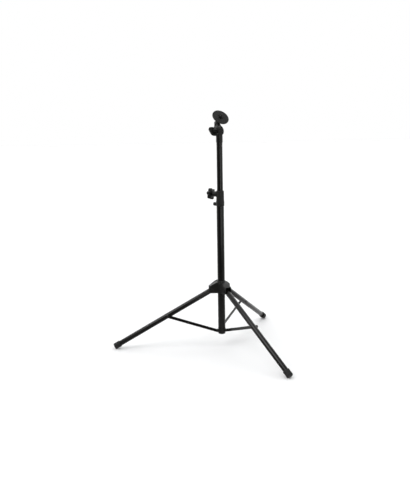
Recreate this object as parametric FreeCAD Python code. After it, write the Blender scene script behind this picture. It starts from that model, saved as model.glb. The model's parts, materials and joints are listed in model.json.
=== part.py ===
import FreeCAD, Part
import math
import os

# Tripod stand for a small loudspeaker. Millimetres, +Z up. The origin is on the floor under the
# column's axis. One leg points along -X, the other two lie 60 degrees either side of +X.
# A leg, its bracket and its brace are drawn at azimuth 0, in the XZ plane, and turned into place.

# ---- legs and floor ----
LEG_AZIMUTHS = {"left": 180.0, "front": -60.0, "rear": 60.0}
LEG_R = 12.5
LEG_WALL = 1.5
LEG_REACH = 545.0            # hub pivot to the end of the foot cap
LEG_HEEL = 12.0              # how far the leg runs past its hub pivot
HUB_PIVOT_R = 45.0           # hub pivot to column axis
HUB_PIVOT_Z = 281.0
CAP_END_Z = 10.6             # height of the centre of the foot cap's end
LEG_DROP = math.asin((HUB_PIVOT_Z - CAP_END_Z) / LEG_REACH)
CAP_R = 15.0
CAP_LENGTH = 30.0
CAP_FLOOR = 4.0              # rubber under the end of the tube
CAP_EDGE = 2.0
PLUG_FLANGE = 2.0
PLUG_LENGTH = 26.0

# ---- braces ----
BRACE_BOLT_ALONG = 246.7     # hub pivot to brace bolt, along the leg
BRACE_FOOT_R = 21.5
BRACE_FOOT_Z = 80.8
BRACE_WIDTH = 14.0
BRACE_INNER = 15.2           # distance of the brace's inner face from the leg's plane
BRACE_THICK = 4.0
BRACE_HOLE_R = 3.06
SPACER_R = 6.5
GAP = 0.3                    # between faces that slide past each other

# ---- fasteners ----
SCREW_R = 3.0                # M6 screws of the braces and the collar
LOW_HEAD_R = 5.5
LOW_HEAD_HEIGHT = 3.0
CAP_HEAD_R = 5.0
CAP_HEAD_HEIGHT = 6.0
PIVOT_R = 4.0                # M8 bolts of the legs and the tilt
PIVOT_HEAD_R = 7.0
PIVOT_HEAD_HEIGHT = 4.0
PIVOT_NUT_FLATS = 13.0
PIVOT_NUT_HEIGHT = 6.5
TILT_HEAD_R = 7.5
STUD_FLATS = 17.0            # across the flats of the M10 bolt's head and nut
STUD_HEAD_HEIGHT = 6.4
STUD_NUT_HEIGHT = 6.0
STUD_WASHER_R = 10.0
STUD_WASHER_THICK = 1.5
SMALL_SOCKET = 4.0           # across the flats of the hexagon sockets
SOCKET = 5.0
BEYOND = 1.0                 # how far a cutting tool runs past a face
REACH = 20.0                 # half length of a drill that goes right through

# ---- column ----
LOWER_R = 17.5
LOWER_WALL = 1.5
LOWER_BOTTOM = 88.0
LOWER_TOP = 722.0
FOOT_BOTTOM = 62.0
SPIGOT_LENGTH = 32.0
LUG_HALF = 6.5
LUG_INNER = 4.0              # distance of the lug's inner face from the leg's plane
LUG_ROOT = 8.0
LUG_THREAD_START = 6.0
FOOT_HOLLOW_R = 11.0
FOOT_HOLLOW_DEPTH = 8.0
SPIGOT_BORE_R = 12.5
SPIGOT_FLOOR = 6.0
UPPER_R = 14.0
UPPER_WALL = 1.5
UPPER_BOTTOM = 372.0
UPPER_TOP = 1003.0
FIT = 0.06                   # radial running clearance
BUSH_BELOW = 12.0            # guide ring below the upper tube's end
BUSH_ABOVE = 18.0            # and inside the tube
BUSH_BORE_R = 8.0

# ---- hub ----
HUB_BOTTOM = 267.0
HUB_TOP = 326.0
HUB_SHOULDER = 312.0
HUB_R = 22.0
HUB_RING_R = 20.2
LINER_R = 19.0
CHEEK_INNER = 13.2
CHEEK_OUTER = 17.0
CHEEK_CORNER = 6.0
CHEEK_TOP = (24.0, 319.0)    # inner end of a bracket's sloping top edge, radius and height
CHEEK_END = (60.0, 299.0)    # outer end
CHEEK_FOOT = (60.0, 277.0)
CHEEK_HEEL_R = 52.0
CHEEK_ROOT_R = 13.0
WEB_THICK = 3.0              # web that closes a bracket on top
WEB_SETBACK = 3.6            # its outer edge from the corner of the cheeks
HUB_KNOB_AZIMUTH = 120.0
HUB_KNOB_Z = 300.0
HUB_KNOB_TURN = 62.0
HUB_BOSS_R = 10.0
HUB_BOSS_END = 38.0
PAD_SHIFT = 0.4              # clamp pads are drawn this far off the tube they press on
HUB_PAD_R = 4.8
HUB_PAD_HOLE_R = 5.0
HUB_PAD_END = 21.6

# ---- collar between the two tubes ----
COLLAR_BOTTOM = 683.0
COLLAR_TOP = 753.5
COLLAR_SIDE = 144.0          # azimuth of the knob and of the screw boss
COLLAR_BORE = 15.6
COLLAR_R = 18.3              # round the upper tube
COLLAR_SKIRT_R = 19.4        # round the lower tube
BUSHING_RIM_R = 16.6
BUSHING_RIM = 1.5            # height of the bushing's rim above the collar
STAR_Z = 738.0
STAR_BOSS_R = 12.5
STAR_BOSS_END = 36.0
STAR_R = 27.5
STAR_THICK = 17.0
STAR_NECK = 5.5              # from the end of the boss to the back of the knob's lobes
STAR_TURN = 14.0
SCALLOP_R = 10.5
SCALLOP_AT = 30.5            # centre of a scallop from the knob's axis
SCREW_BOSS_Z = 691.0
SCREW_BOSS_R = 8.5
SCREW_BOSS_END = 34.8
SCREW_SEAT = 27.0            # seat of the screw's head from the column's axis
CLAMP_SCREW_R = 4.0
STAR_NECK_R = 10.5
STAR_CAP_R = 9.0
STAR_CAP_HEIGHT = 2.0
STUD_IN_KNOB = 12.0          # how deep a clamp stud sits in its knob's lobes
STAR_PAD_R = 5.0
STAR_PAD_HOLE_R = 5.2
STAR_PAD_END = 17.4

# ---- wing knobs ----
WING_HALF = 26.0             # half the wing's width
WING_FOOT = 4.0              # wing's inner edge from the knob's foot
WING_TOP = 34.0
WING_CORNER = 14.0
WING_HEEL = 5.0              # radius of the wing's inner corners
WING_RIM = 4.0
WEB_HALF = 2.5
RIM_HALF = 4.0
KNOB_HUB_R = 9.0
KNOB_HUB_LENGTH = 17.0
KNOB_BORE_DEPTH = 13.0

# ---- tilting head ----
HEAD_AZIMUTH = -62.0         # direction in which the plate leans
TILT = math.radians(48.8)    # plate normal from the vertical
SLEEVE_R = 15.4
SLEEVE_BOTTOM = 977.0
SLEEVE_TOP = 1009.0
TILT_PIVOT_Z = 1027.5
POST_NECK_HALF = 12.0
GRUB_R = 2.5
GRUB_RISE = 12.0             # grub screw above the sleeve's lower end
EAR_R = 17.5
EAR_HALF = 9.0
CHEEK_GAP = 0.4
CHEEK_THICK = 4.8
FORK_HALF = EAR_HALF + CHEEK_GAP + CHEEK_THICK
PLATE_OUT = 13.0             # plate centre from the pivot, horizontally and upwards
PLATE_UP = 63.5
PLATE_R = 40.0
PLATE_THICK = 3.0
PAD_THICK = 2.0
PAD_HOLE_R = 12.5
STUD_R = 5.0
SHANK_R = 5.5                # the same bolt inside the fork, the plate and the nut
STUD_OUT = 20.0              # stud above the pad
FLANGE_R = 19.0
FLANGE_THICK = 5.0
BOSS_R = 11.0
BOSS_LENGTH = 46.0
NECK_BACK = 41.0             # plate underside to where the prongs meet the boss
NECK_R = 12.0
NECK_INNER = 3.5             # half the slit between the prongs at the neck
KNEE_RISE = 8.0              # height over which the prongs bend inwards
HEAD_POCKET_R = 10.6         # room between the prongs for the bolt's head
HEAD_POCKET_DEPTH = 14.0
TILT_WASHER_R = 8.5
WASHER_THICK = 1.2
TILT_BOLT_END = 28.0
WING_TURN = 137.0

UP = FreeCAD.Vector(0, 0, 1)
SIDE = FreeCAD.Vector(0, 1, 0)
ORIGIN = FreeCAD.Vector(0, 0, 0)


def vec(x, y, z):
    return FreeCAD.Vector(x, y, z)


def rod(radius, start, end):
    """Cylinder between two points."""
    return Part.makeCylinder(radius, (end - start).Length, start, end - start)


def ring(outer, inner, start, end):
    """Tube between two points."""
    return rod(outer, start, end).cut(rod(inner, start, end))


def joined(*shapes):
    """One solid from overlapping ones, with seams between faces removed."""
    return shapes[0].fuse(list(shapes[1:])).removeSplitter()


def turned(shape, azimuth):
    """Copy of a shape turned about the column's axis."""
    copy = shape.copy()
    copy.rotate(ORIGIN, UP, azimuth)
    return copy


def lathe(points):
    """Solid of revolution about Z from (radius, height) points."""
    outline = [vec(r, 0, z) for r, z in points]
    face = Part.Face(Part.makePolygon(outline + outline[:1]))
    return face.revolve(ORIGIN, UP, 360)


def plate(points, y_low, y_high):
    """Slab whose outline is a polygon of (x, z) points."""
    outline = [vec(x, y_low, z) for x, z in points]
    face = Part.Face(Part.makePolygon(outline + outline[:1]))
    return face.extrude(SIDE * (y_high - y_low))


def hexagon(across_flats, start, end):
    """Hexagonal prism between two points."""
    axis = end - start
    corners = []
    for k in range(7):
        angle = math.radians(60 * k)
        corners.append(vec(math.cos(angle), math.sin(angle), 0) * (across_flats / math.sqrt(3)))
    prism = Part.Face(Part.makePolygon(corners)).extrude(UP * axis.Length)
    prism.Placement = FreeCAD.Placement(start, FreeCAD.Rotation(UP, axis))
    return prism


def tapered_link(centre_a, radius_a, centre_b, radius_b, y_low, y_high):
    """Slab with two round ends of different size joined by their outer tangents, in the XZ plane."""
    span = math.hypot(centre_b[0] - centre_a[0], centre_b[1] - centre_a[1])
    heading = math.atan2(centre_b[1] - centre_a[1], centre_b[0] - centre_a[0])
    open_angle = math.acos((radius_a - radius_b) / span)
    corners = []
    for centre, radius, sign in (
        (centre_a, radius_a, 1),
        (centre_b, radius_b, 1),
        (centre_b, radius_b, -1),
        (centre_a, radius_a, -1),
    ):
        angle = heading + sign * open_angle
        corners.append((centre[0] + radius * math.cos(angle), centre[1] + radius * math.sin(angle)))
    ends = []
    for centre, radius in ((centre_a, radius_a), (centre_b, radius_b)):
        ends.append(rod(radius, vec(centre[0], y_low, centre[1]), vec(centre[0], y_high, centre[1])))
    return joined(plate(corners, y_low, y_high), *ends)


def rounded(shape, radius, wanted):
    """Fillets the edges for which wanted(edge) is true."""
    return shape.makeFillet(radius, [edge for edge in shape.Edges if wanted(edge)])


def circle_at(point, radius):
    """Tells whether an edge is the full circle of that radius about that point."""
    def test(edge):
        curve = edge.Curve
        if not isinstance(curve, Part.Circle):
            return False
        return abs(curve.Radius - radius) < 1e-4 and (curve.Center - point).Length < 1e-4
    return test


def save(name, *solids):
    shape = solids[0] if len(solids) == 1 else Part.makeCompound(list(solids))
    assert shape.isValid(), name
    print(f"{name:24s} {len(shape.Solids):2d} solids {shape.Volume / 1000:9.2f} cm3")
    shape.exportStep(f"parts/{name}.step")


# ------------------------------------------------------------------ column

def make_lower_tube():
    tube = ring(LOWER_R, LOWER_R - LOWER_WALL, vec(0, 0, LOWER_BOTTOM), vec(0, 0, LOWER_TOP))
    screw_hole = rod(SCREW_R, vec(0, 0, SCREW_BOSS_Z), vec(2 * LOWER_R, 0, SCREW_BOSS_Z))
    return tube.cut(turned(screw_hole, COLLAR_SIDE))


def make_column_foot():
    """Plug in the bottom of the lower tube, with a lug for each brace."""
    body = rod(LOWER_R, vec(0, 0, FOOT_BOTTOM), vec(0, 0, LOWER_BOTTOM))
    body = rounded(body, 4.0, circle_at(vec(0, 0, FOOT_BOTTOM), LOWER_R))
    spigot = rod(LOWER_R - LOWER_WALL, vec(0, 0, LOWER_BOTTOM), vec(0, 0, LOWER_BOTTOM + SPIGOT_LENGTH))
    lugs = []
    holes = []
    for azimuth in LEG_AZIMUTHS.values():
        arm = Part.makeBox(
            BRACE_FOOT_R - LUG_ROOT,
            BRACE_INNER - GAP - LUG_INNER,
            2 * LUG_HALF,
            vec(LUG_ROOT, LUG_INNER, BRACE_FOOT_Z - LUG_HALF),
        )
        end = rod(
            LUG_HALF,
            vec(BRACE_FOOT_R, LUG_INNER, BRACE_FOOT_Z),
            vec(BRACE_FOOT_R, BRACE_INNER - GAP, BRACE_FOOT_Z),
        )
        hole = rod(
            SCREW_R,
            vec(BRACE_FOOT_R, LUG_THREAD_START, BRACE_FOOT_Z),
            vec(BRACE_FOOT_R, REACH, BRACE_FOOT_Z),
        )
        lugs += [turned(arm, azimuth), turned(end, azimuth)]
        holes.append(turned(hole, azimuth))
    hollow = rod(
        FOOT_HOLLOW_R, vec(0, 0, FOOT_BOTTOM - BEYOND), vec(0, 0, FOOT_BOTTOM + FOOT_HOLLOW_DEPTH)
    )
    bore = rod(
        SPIGOT_BORE_R,
        vec(0, 0, LOWER_BOTTOM + SPIGOT_FLOOR),
        vec(0, 0, LOWER_BOTTOM + SPIGOT_LENGTH + BEYOND),
    )
    return joined(body, spigot, *lugs).cut(holes + [hollow, bore])


def make_brace_screws():
    """Shoulder screws on which the braces turn, at the column's foot."""
    screws = []
    start = BRACE_INNER + BRACE_THICK + GAP
    seat = vec(BRACE_FOOT_R, start, BRACE_FOOT_Z)
    top = seat + SIDE * LOW_HEAD_HEIGHT
    for azimuth in LEG_AZIMUTHS.values():
        shank = rod(SCREW_R, vec(BRACE_FOOT_R, LUG_THREAD_START, BRACE_FOOT_Z), seat)
        head = rounded(rod(LOW_HEAD_R, seat, top), 1.2, circle_at(top, LOW_HEAD_R))
        socket = hexagon(SMALL_SOCKET, seat + SIDE * 1.2, top + SIDE * BEYOND)
        screws.append(turned(joined(shank, head).cut(socket), azimuth))
    return screws


def make_collar():
    """Collar that carries the clamp for the upper tube and is screwed to the lower one."""
    body = lathe([
        (LOWER_R, COLLAR_BOTTOM),
        (COLLAR_SKIRT_R - 0.8, COLLAR_BOTTOM),
        (COLLAR_SKIRT_R, COLLAR_BOTTOM + 6),
        (COLLAR_SKIRT_R, COLLAR_BOTTOM + 22),
        (COLLAR_R, COLLAR_BOTTOM + 30),
        (COLLAR_R, COLLAR_TOP - 1.5),
        (COLLAR_R - 1.5, COLLAR_TOP),
        (COLLAR_BORE, COLLAR_TOP),
        (COLLAR_BORE, LOWER_TOP),
        (LOWER_R, LOWER_TOP),
    ])
    star_boss = rod(STAR_BOSS_R, vec(COLLAR_BORE, 0, STAR_Z), vec(STAR_BOSS_END, 0, STAR_Z))
    star_boss = rounded(star_boss, 1.5, circle_at(vec(STAR_BOSS_END, 0, STAR_Z), STAR_BOSS_R))
    screw_boss = rod(SCREW_BOSS_R, vec(COLLAR_BORE, 0, SCREW_BOSS_Z), vec(SCREW_BOSS_END, 0, SCREW_BOSS_Z))
    screw_boss = rounded(screw_boss, 1.0, circle_at(vec(SCREW_BOSS_END, 0, SCREW_BOSS_Z), SCREW_BOSS_R))
    cores = [
        rod(LOWER_R, vec(0, 0, COLLAR_BOTTOM - BEYOND), vec(0, 0, LOWER_TOP)),
        rod(COLLAR_BORE, vec(0, 0, COLLAR_BOTTOM), vec(0, 0, COLLAR_TOP + BEYOND)),
    ]
    body = joined(body, turned(star_boss, COLLAR_SIDE), turned(screw_boss, COLLAR_SIDE))
    cuts = [
        rod(CLAMP_SCREW_R, vec(0, 0, STAR_Z), vec(STAR_BOSS_END + BEYOND, 0, STAR_Z)),
        rod(STAR_PAD_HOLE_R, vec(0, 0, STAR_Z), vec(STAR_PAD_END + 3, 0, STAR_Z)),
        rod(SCREW_R, vec(0, 0, SCREW_BOSS_Z), vec(SCREW_BOSS_END + BEYOND, 0, SCREW_BOSS_Z)),
        rod(
            CAP_HEAD_R + 0.5,
            vec(SCREW_SEAT, 0, SCREW_BOSS_Z),
            vec(SCREW_BOSS_END + BEYOND, 0, SCREW_BOSS_Z),
        ),
    ]
    return body.cut(cores + [turned(cut, COLLAR_SIDE) for cut in cuts])


def make_collar_bushing():
    """Nylon bushing in which the upper tube slides."""
    body = lathe([
        (UPPER_R + FIT, LOWER_TOP),
        (COLLAR_BORE, LOWER_TOP),
        (COLLAR_BORE, COLLAR_TOP),
        (BUSHING_RIM_R, COLLAR_TOP),
        (BUSHING_RIM_R, COLLAR_TOP + BUSHING_RIM),
        (UPPER_R + FIT, COLLAR_TOP + BUSHING_RIM),
    ])
    pad_hole = rod(STAR_PAD_HOLE_R, vec(0, 0, STAR_Z), vec(REACH, 0, STAR_Z))
    return body.cut(turned(pad_hole, COLLAR_SIDE))


def make_collar_screw():
    """Cap screw that fixes the collar to the lower tube."""
    seat = vec(SCREW_SEAT, 0, SCREW_BOSS_Z)
    top = vec(SCREW_SEAT + CAP_HEAD_HEIGHT, 0, SCREW_BOSS_Z)
    shank = rod(SCREW_R, vec(LOWER_R - LOWER_WALL, 0, SCREW_BOSS_Z), seat)
    head = rod(CAP_HEAD_R, seat, top)
    socket = hexagon(SOCKET, (seat + top) * 0.5, top + vec(BEYOND, 0, 0))
    return turned(joined(shank, head).cut(socket), COLLAR_SIDE)


def make_star_knob():
    """Six-lobed clamping knob."""
    start = STAR_BOSS_END + GAP
    back = start + STAR_NECK
    neck = rod(STAR_NECK_R, vec(start, 0, STAR_Z), vec(back + BEYOND, 0, STAR_Z))
    disc = rod(STAR_R, vec(back, 0, STAR_Z), vec(back + STAR_THICK, 0, STAR_Z))
    front = back + STAR_THICK
    disc = rounded(disc, 3.0, circle_at(vec(front, 0, STAR_Z), STAR_R))
    scallops = []
    for k in range(6):
        angle = math.radians(STAR_TURN + 60 * k + 30)
        y = SCALLOP_AT * math.sin(angle)
        z = STAR_Z + SCALLOP_AT * math.cos(angle)
        scallops.append(rod(SCALLOP_R, vec(back - BEYOND, y, z), vec(front + BEYOND, y, z)))
    cap = rod(STAR_CAP_R, vec(front - BEYOND, 0, STAR_Z), vec(front + STAR_CAP_HEIGHT, 0, STAR_Z))
    socket = rod(CLAMP_SCREW_R, vec(start, 0, STAR_Z), vec(back + STUD_IN_KNOB, 0, STAR_Z))
    return turned(joined(disc.cut(scallops), neck, cap).cut(socket), COLLAR_SIDE)


def make_star_stud():
    """Threaded stud moulded into the star knob."""
    start = STAR_BOSS_END + GAP
    inner = rod(CLAMP_SCREW_R - FIT, vec(STAR_PAD_END, 0, STAR_Z), vec(start, 0, STAR_Z))
    outer = rod(
        CLAMP_SCREW_R, vec(start, 0, STAR_Z), vec(start + STAR_NECK + STUD_IN_KNOB, 0, STAR_Z)
    )
    return turned(joined(inner, outer), COLLAR_SIDE)


def make_star_pad():
    """Soft-tipped pad between the clamp stud and the upper tube."""
    pad = rod(STAR_PAD_R, vec(UPPER_R + PAD_SHIFT, 0, STAR_Z), vec(STAR_PAD_END, 0, STAR_Z))
    return turned(pad, COLLAR_SIDE)


# ------------------------------------------------------------------ upper mast

def make_upper_tube():
    return ring(UPPER_R, UPPER_R - UPPER_WALL, vec(0, 0, UPPER_BOTTOM), vec(0, 0, UPPER_TOP))


def make_upper_bush():
    """Guide ring plugged into the lower end of the upper tube."""
    running = LOWER_R - LOWER_WALL - FIT
    return lathe([
        (BUSH_BORE_R, UPPER_BOTTOM - BUSH_BELOW),
        (running, UPPER_BOTTOM - BUSH_BELOW),
        (running, UPPER_BOTTOM),
        (UPPER_R - UPPER_WALL, UPPER_BOTTOM),
        (UPPER_R - UPPER_WALL, UPPER_BOTTOM + BUSH_ABOVE),
        (BUSH_BORE_R, UPPER_BOTTOM + BUSH_ABOVE),
    ])


def make_tilt_post():
    """Sleeve over the top of the mast, with the ear that the fork turns on."""
    sleeve = rod(SLEEVE_R, vec(0, 0, SLEEVE_BOTTOM), vec(0, 0, SLEEVE_TOP))
    sleeve = rounded(sleeve, 1.5, circle_at(vec(0, 0, SLEEVE_TOP), SLEEVE_R))
    ear = rod(EAR_R, vec(0, -EAR_HALF, TILT_PIVOT_Z), vec(0, EAR_HALF, TILT_PIVOT_Z))
    neck = Part.makeBox(
        2 * POST_NECK_HALF,
        2 * EAR_HALF,
        TILT_PIVOT_Z - UPPER_TOP,
        vec(-POST_NECK_HALF, -EAR_HALF, UPPER_TOP),
    )
    bolt_hole = rod(PIVOT_R, vec(0, -REACH, TILT_PIVOT_Z), vec(0, REACH, TILT_PIVOT_Z))
    bore = rod(UPPER_R, vec(0, 0, SLEEVE_BOTTOM - BEYOND), vec(0, 0, UPPER_TOP))
    screw_z = SLEEVE_BOTTOM + GRUB_RISE
    screw_hole = rod(GRUB_R, vec(-REACH, 0, screw_z), vec(0, 0, screw_z))
    return turned(joined(sleeve, ear, neck).cut([bolt_hole, bore, screw_hole]), HEAD_AZIMUTH)


def make_post_screw():
    """Grub screw that holds the sleeve on the mast."""
    z = SLEEVE_BOTTOM + GRUB_RISE
    screw = rod(GRUB_R, vec(-SLEEVE_R + 0.2, 0, z), vec(-UPPER_R, 0, z))
    return turned(screw, HEAD_AZIMUTH)


def make_tilt_bolt():
    """Bolt that the fork turns on; the wing knob is its nut."""
    seat = vec(0, FORK_HALF + GAP, TILT_PIVOT_Z)
    top = seat + SIDE * PIVOT_HEAD_HEIGHT
    shank = rod(PIVOT_R, vec(0, -TILT_BOLT_END, TILT_PIVOT_Z), seat)
    head = rounded(rod(TILT_HEAD_R, seat, top), 2.5, circle_at(top, TILT_HEAD_R))
    return turned(joined(shank, head), HEAD_AZIMUTH)


def make_tilt_washer():
    face = vec(0, -FORK_HALF - GAP, TILT_PIVOT_Z)
    return turned(ring(TILT_WASHER_R, PIVOT_R, face - SIDE * WASHER_THICK, face), HEAD_AZIMUTH)


# ------------------------------------------------------------------ tilting plate

NORMAL = vec(math.sin(TILT), 0, math.cos(TILT))
PLATE_CENTRE = vec(PLATE_OUT, 0, TILT_PIVOT_Z + PLATE_UP)


def along_normal(distance):
    """Point on the plate's axis, measured from the top of the steel plate."""
    return PLATE_CENTRE + NORMAL * distance


def make_tilt_fork():
    """Fork of two bent prongs that straddle the ear, with a round boss behind the plate."""
    boss = rod(BOSS_R, along_normal(-PLATE_THICK - BOSS_LENGTH), along_normal(-PLATE_THICK))
    flange = rod(FLANGE_R, along_normal(-PLATE_THICK - FLANGE_THICK), along_normal(-PLATE_THICK))
    neck = along_normal(-PLATE_THICK - NECK_BACK)
    link = tapered_link((0, TILT_PIVOT_Z), EAR_R, (neck.x, neck.z), NECK_R, -FORK_HALF, FORK_HALF)
    inner = EAR_HALF + CHEEK_GAP
    neck_outer = NECK_INNER + CHEEK_THICK
    knee = TILT_PIVOT_Z + EAR_R + 1
    below, above = TILT_PIVOT_Z - 2 * REACH, TILT_PIVOT_Z + 4 * REACH
    prongs = []
    for side in (-1, 1):
        strip = [
            (inner, below),
            (inner, knee),
            (NECK_INNER, knee + KNEE_RISE),
            (NECK_INNER, above),
            (neck_outer, above),
            (neck_outer, knee + KNEE_RISE),
            (FORK_HALF, knee),
            (FORK_HALF, below),
        ]
        outline = [vec(-3 * REACH, side * y, z) for y, z in strip]
        bent = Part.Face(Part.makePolygon(outline + outline[:1])).extrude(vec(5 * REACH, 0, 0))
        prongs.append(link.common(bent))
    back = -PLATE_THICK - BOSS_LENGTH
    cuts = [
        rod(SHANK_R, along_normal(back - BEYOND), along_normal(BEYOND)),
        rod(HEAD_POCKET_R, along_normal(back - HEAD_POCKET_DEPTH), along_normal(back)),
        rod(PIVOT_R + FIT, vec(0, -REACH, TILT_PIVOT_Z), vec(0, REACH, TILT_PIVOT_Z)),
    ]
    return turned(joined(boss, flange, *prongs).cut(cuts), HEAD_AZIMUTH)


def make_mount_plate():
    disc = ring(PLATE_R, SHANK_R, along_normal(-PLATE_THICK), along_normal(0))
    return turned(disc, HEAD_AZIMUTH)


def make_plate_pad():
    """Rubber pad on the plate, open round the nut."""
    pad = ring(PLATE_R, PAD_HOLE_R, along_normal(0), along_normal(PAD_THICK))
    pad = rounded(pad, 0.8, circle_at(along_normal(PAD_THICK), PLATE_R))
    return turned(pad, HEAD_AZIMUTH)


def make_mount_bolt():
    """Long bolt through fork and plate; its end is the stud that the loudspeaker screws on to."""
    back = -PLATE_THICK - BOSS_LENGTH - STUD_WASHER_THICK
    tip = PAD_THICK + STUD_OUT
    shank = rod(SHANK_R, along_normal(back), along_normal(STUD_NUT_HEIGHT))
    stud = rod(STUD_R, along_normal(back), along_normal(tip))
    end = circle_at(along_normal(tip), STUD_R)
    stud = stud.makeChamfer(1.0, [edge for edge in stud.Edges if end(edge)])
    head = hexagon(STUD_FLATS, along_normal(back - STUD_HEAD_HEIGHT), along_normal(back))
    return turned(joined(stud, shank, head), HEAD_AZIMUTH)


def make_bolt_washer():
    back = -PLATE_THICK - BOSS_LENGTH
    washer = ring(STUD_WASHER_R, SHANK_R, along_normal(back - STUD_WASHER_THICK), along_normal(back))
    return turned(washer, HEAD_AZIMUTH)


def make_plate_nut():
    nut = hexagon(STUD_FLATS, along_normal(0), along_normal(STUD_NUT_HEIGHT))
    hole = rod(SHANK_R, along_normal(-BEYOND), along_normal(STUD_NUT_HEIGHT + BEYOND))
    return turned(nut.cut(hole), HEAD_AZIMUTH)


# ------------------------------------------------------------------ wing knobs

def crosses_at(height):
    """Tells whether an edge runs straight across the wing at a height."""
    def test(edge):
        first, last = edge.Vertexes[0].Point, edge.Vertexes[-1].Point
        across = abs(first.y - last.y) > 1 and abs(first.x - last.x) < 1e-4
        return across and abs(first.z - height) < 1e-4 and abs(last.z - height) < 1e-4
    return test


def wing(inset, half_thick):
    """Round-cornered slab in the XZ plane, smaller by the inset all round."""
    side = WING_HALF - inset
    low, high = WING_FOOT + inset, WING_TOP - inset
    slab = plate([(-side, low), (side, low), (side, high), (-side, high)], -half_thick, half_thick)
    slab = rounded(slab, WING_CORNER - inset, crosses_at(high))
    return rounded(slab, WING_HEEL - inset + 1, crosses_at(low))


def wing_knob():
    """Wing knob standing on the XY plane, its axis along Z and its dished wing in the XZ plane."""
    rim = wing(0.0, RIM_HALF).cut(wing(WING_RIM, RIM_HALF + BEYOND))
    top = vec(0, 0, KNOB_HUB_LENGTH)
    hub = rounded(rod(KNOB_HUB_R, ORIGIN, top), 3.0, circle_at(top, KNOB_HUB_R))
    bore = rod(PIVOT_R + FIT, vec(0, 0, -BEYOND), vec(0, 0, KNOB_BORE_DEPTH))
    return joined(wing(1.0, WEB_HALF), rim, hub).cut(bore)


def placed_knob(point, outward, turn):
    """Wing knob with its foot at a point, facing outward and turned about its own axis."""
    knob = wing_knob()
    knob.rotate(ORIGIN, UP, turn)
    knob.Placement = FreeCAD.Placement(point, FreeCAD.Rotation(UP, outward)).multiply(knob.Placement)
    return knob


def make_tilt_knob():
    foot = vec(0, -FORK_HALF - GAP - WASHER_THICK - GAP, TILT_PIVOT_Z)
    return turned(placed_knob(foot, -SIDE, WING_TURN), HEAD_AZIMUTH)


def make_hub_knob():
    point = vec(HUB_BOSS_END + GAP, 0, HUB_KNOB_Z)
    return turned(placed_knob(point, vec(1, 0, 0), HUB_KNOB_TURN), HUB_KNOB_AZIMUTH)


def make_hub_screw():
    """Clamp screw of the hub knob."""
    start = vec(HUB_BOSS_END + GAP, 0, HUB_KNOB_Z)
    inner = rod(PIVOT_R - FIT, vec(HUB_PAD_END, 0, HUB_KNOB_Z), start)
    outer = rod(PIVOT_R + FIT, start, start + vec(KNOB_BORE_DEPTH, 0, 0))
    return turned(joined(inner, outer), HUB_KNOB_AZIMUTH)


def make_hub_pad():
    pad = rod(HUB_PAD_R, vec(LOWER_R + PAD_SHIFT, 0, HUB_KNOB_Z), vec(HUB_PAD_END, 0, HUB_KNOB_Z))
    return turned(pad, HUB_KNOB_AZIMUTH)


def hub_pad_hole():
    hole = rod(HUB_PAD_HOLE_R, vec(0, 0, HUB_KNOB_Z), vec(HUB_PAD_END + 2, 0, HUB_KNOB_Z))
    return turned(hole, HUB_KNOB_AZIMUTH)


# ------------------------------------------------------------------ hub

HUB_PIVOT = vec(HUB_PIVOT_R, 0, HUB_PIVOT_Z)
CHEEK_OUTLINE = [
    (CHEEK_ROOT_R, HUB_BOTTOM),
    (CHEEK_HEEL_R, HUB_BOTTOM),
    CHEEK_FOOT,
    CHEEK_END,
    CHEEK_TOP,
    (CHEEK_ROOT_R, CHEEK_TOP[1]),
]


def make_web():
    """Web between the top edges of a bracket's cheeks."""
    start, corner = vec(CHEEK_TOP[0], 0, CHEEK_TOP[1]), vec(CHEEK_END[0], 0, CHEEK_END[1])
    slope = (corner - start).normalize()
    end = corner - slope * WEB_SETBACK
    down = vec(slope.z, 0, -slope.x) * WEB_THICK
    outline = [
        (CHEEK_ROOT_R, start.z),
        (start.x, start.z),
        (end.x, end.z),
        (end.x + down.x, end.z + down.z),
        (start.x + down.x, start.z + down.z),
        (CHEEK_ROOT_R, start.z + down.z),
    ]
    return plate(outline, -CHEEK_OUTER, CHEEK_OUTER)


def make_hub():
    """Sliding hub with a bracket for each leg: two cheeks and a web that closes it on top."""
    body = lathe([
        (LINER_R, HUB_BOTTOM),
        (HUB_R, HUB_BOTTOM),
        (HUB_R, HUB_SHOULDER),
        (HUB_RING_R, HUB_SHOULDER + 3),
        (HUB_RING_R, HUB_TOP - 1.5),
        (LINER_R, HUB_TOP),
    ])
    solids = [body]
    for azimuth in LEG_AZIMUTHS.values():
        for low, high in ((-CHEEK_OUTER, -CHEEK_INNER), (CHEEK_INNER, CHEEK_OUTER)):
            cheek = plate(CHEEK_OUTLINE, low, high)
            cheek = rounded(cheek, CHEEK_CORNER, is_outer_corner)
            solids.append(turned(cheek, azimuth))
        solids.append(turned(make_web(), azimuth))
    boss_end = vec(HUB_BOSS_END, 0, HUB_KNOB_Z)
    boss = rod(HUB_BOSS_R, vec(LINER_R, 0, HUB_KNOB_Z), boss_end)
    boss = rounded(boss, 1.5, circle_at(boss_end, HUB_BOSS_R))
    solids.append(turned(boss, HUB_KNOB_AZIMUTH))
    cuts = [rod(LINER_R, vec(0, 0, HUB_BOTTOM - BEYOND), vec(0, 0, HUB_TOP + BEYOND))]
    knob_hole = rod(PIVOT_R, vec(0, 0, HUB_KNOB_Z), boss_end + vec(BEYOND, 0, 0))
    cuts += [turned(knob_hole, HUB_KNOB_AZIMUTH), hub_pad_hole()]
    for azimuth in LEG_AZIMUTHS.values():
        hole = rod(PIVOT_R, HUB_PIVOT - SIDE * REACH, HUB_PIVOT + SIDE * REACH)
        cuts.append(turned(hole, azimuth))
    return joined(*solids).cut(cuts)


def is_outer_corner(edge):
    """Tells whether an edge of a cheek runs across it at its outer end."""
    first, last = edge.Vertexes[0].Point, edge.Vertexes[-1].Point
    return abs(first.y - last.y) > 1 and first.x > 40


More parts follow.
